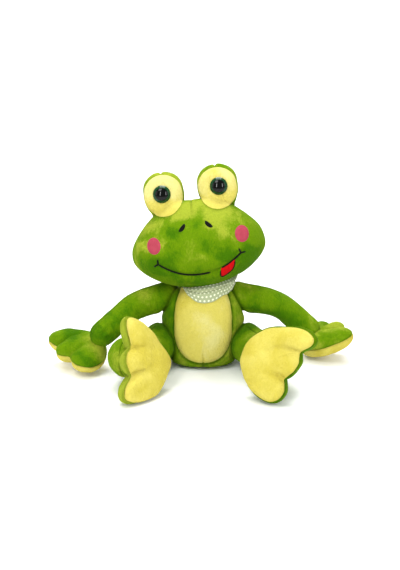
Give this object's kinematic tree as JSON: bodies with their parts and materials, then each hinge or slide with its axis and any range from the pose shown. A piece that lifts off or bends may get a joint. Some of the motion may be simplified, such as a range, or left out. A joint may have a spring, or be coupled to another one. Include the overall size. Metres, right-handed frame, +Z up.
{
  "type": "plush frog",
  "caption": "Seated stuffed frog with long soft arms and legs, webbed hands and feet, raised eyes, a stitched smile and a dotted neckerchief.",
  "frame": {"origin": "middle of the flat seat under the torso, which rests on the floor", "axes": "+Z up, the frog faces -Y, and its own left side is +X"},
  "size_m": [0.4285, 0.2477, 0.2746],
  "materials": {
    "green_plush": "short-pile plush, mottled light and dark green",
    "yellow_plush": "short-pile plush, pale yellow",
    "pink_thread": "satin-stitched thread",
    "black_thread": "satin-stitched thread",
    "red_felt": "brushed felt with a stitched edge",
    "dotted_cotton": "thin woven cotton, grey green with pale dots",
    "eye_plastic": "glossy, dark green round a black pupil",
    "washer_plastic": "natural white"
  },
  "bodies": {
    "torso": {"torso": "green_plush", "belly_panel": "yellow_plush", "neckerchief": "dotted_cotton", "neckerchief_knot": "dotted_cotton"},
    "head": {"head": "green_plush", "eye_stalk_right": "green_plush", "eye_patch_right": "yellow_plush", "eye_right": "eye_plastic", "eye_washer_right": "washer_plastic", "cheek_right": "pink_thread", "nostril_right": "black_thread", "eye_stalk_left": "green_plush", "eye_patch_left": "yellow_plush", "eye_left": "eye_plastic", "eye_washer_left": "washer_plastic", "cheek_left": "pink_thread", "nostril_left": "black_thread", "mouth_stitch_long": "black_thread", "mouth_stitch_short": "black_thread", "tongue": "red_felt"},
    "arm_right": {"arm_right": "green_plush"},
    "hand_right": {"hand_back_right": "green_plush", "palm_right": "yellow_plush"},
    "leg_right": {"leg_right": "green_plush"},
    "foot_right": {"foot_upper_right": "green_plush", "sole_right": "yellow_plush"},
    "arm_left": {"arm_left": "green_plush"},
    "hand_left": {"hand_back_left": "green_plush", "palm_left": "yellow_plush"},
    "leg_left": {"leg_left": "green_plush"},
    "foot_left": {"foot_upper_left": "green_plush", "sole_left": "yellow_plush"}
  },
  "joints": [
    {"name": "neck_tilt", "type": "hinge", "parent": "torso", "child": "head", "pos_m": [0, 0, 0.1], "axis": [0, 1, 0], "range_deg": [0, 10]},
    {"name": "shoulder_right", "type": "hinge", "parent": "torso", "child": "arm_right", "pos_m": [-0.05, 0.002, 0.09], "axis": [0, 1, 0], "range_deg": [-3, 26]},
    {"name": "wrist_right", "type": "hinge", "parent": "arm_right", "child": "hand_right", "pos_m": [-0.139, -0.045, 0.048], "axis": [0, 1, 0], "range_deg": [-20, 20]},
    {"name": "hip_right", "type": "hinge", "parent": "torso", "child": "leg_right", "pos_m": [-0.058, -0.015, 0.0285], "axis": [-0.9181, 0.3963, 0], "range_deg": [-20, 15]},
    {"name": "ankle_right", "type": "hinge", "parent": "leg_right", "child": "foot_right", "pos_m": [-0.099, -0.11, 0.038], "axis": [0, 0, 1], "range_deg": [-20, 8]},
    {"name": "shoulder_left", "type": "hinge", "parent": "torso", "child": "arm_left", "pos_m": [0.05, 0.002, 0.09], "axis": [0, 1, 0], "range_deg": [-35, 12]},
    {"name": "wrist_left", "type": "hinge", "parent": "arm_left", "child": "hand_left", "pos_m": [0.15, 0.01, 0.04], "axis": [0, 1, 0], "range_deg": [-20, 20]},
    {"name": "hip_left", "type": "hinge", "parent": "torso", "child": "leg_left", "pos_m": [0.058, -0.015, 0.0285], "axis": [-0.9395, -0.3424, 0], "range_deg": [-20, 15]},
    {"name": "ankle_left", "type": "hinge", "parent": "leg_left", "child": "foot_left", "pos_m": [0.097, -0.122, 0.038], "axis": [0, 0, 1], "range_deg": [-8, 20]}
  ]
}
